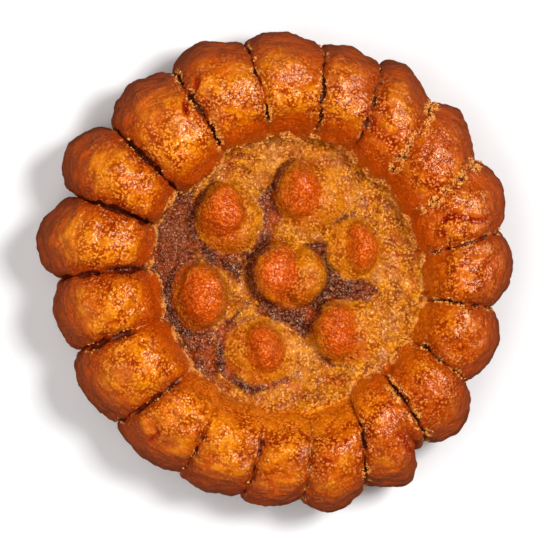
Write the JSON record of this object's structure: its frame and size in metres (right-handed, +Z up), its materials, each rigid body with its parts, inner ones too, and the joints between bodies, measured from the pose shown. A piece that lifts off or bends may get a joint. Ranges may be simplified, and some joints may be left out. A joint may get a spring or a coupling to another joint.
{
  "type": "yakgwa",
  "caption": "Fried honey biscuit pressed as a flower: a ring of cracked petals round a sunken floor with knobbed bosses, flat underneath.",
  "frame": {"origin": "centre of the outline's box, on the table that the biscuit rests on", "axes": "+Z up through the biscuit, +X to the right and +Y away when the patterned face is seen from above"},
  "size_m": [0.0598, 0.0602, 0.0146],
  "materials": {
    "fried_dough": "syrup-glazed fried dough, orange brown, darker at the rims and in the seams, golden on the domes"
  },
  "bodies": {
    "root": {"yakgwa": "fried_dough"}
  },
  "joints": []
}
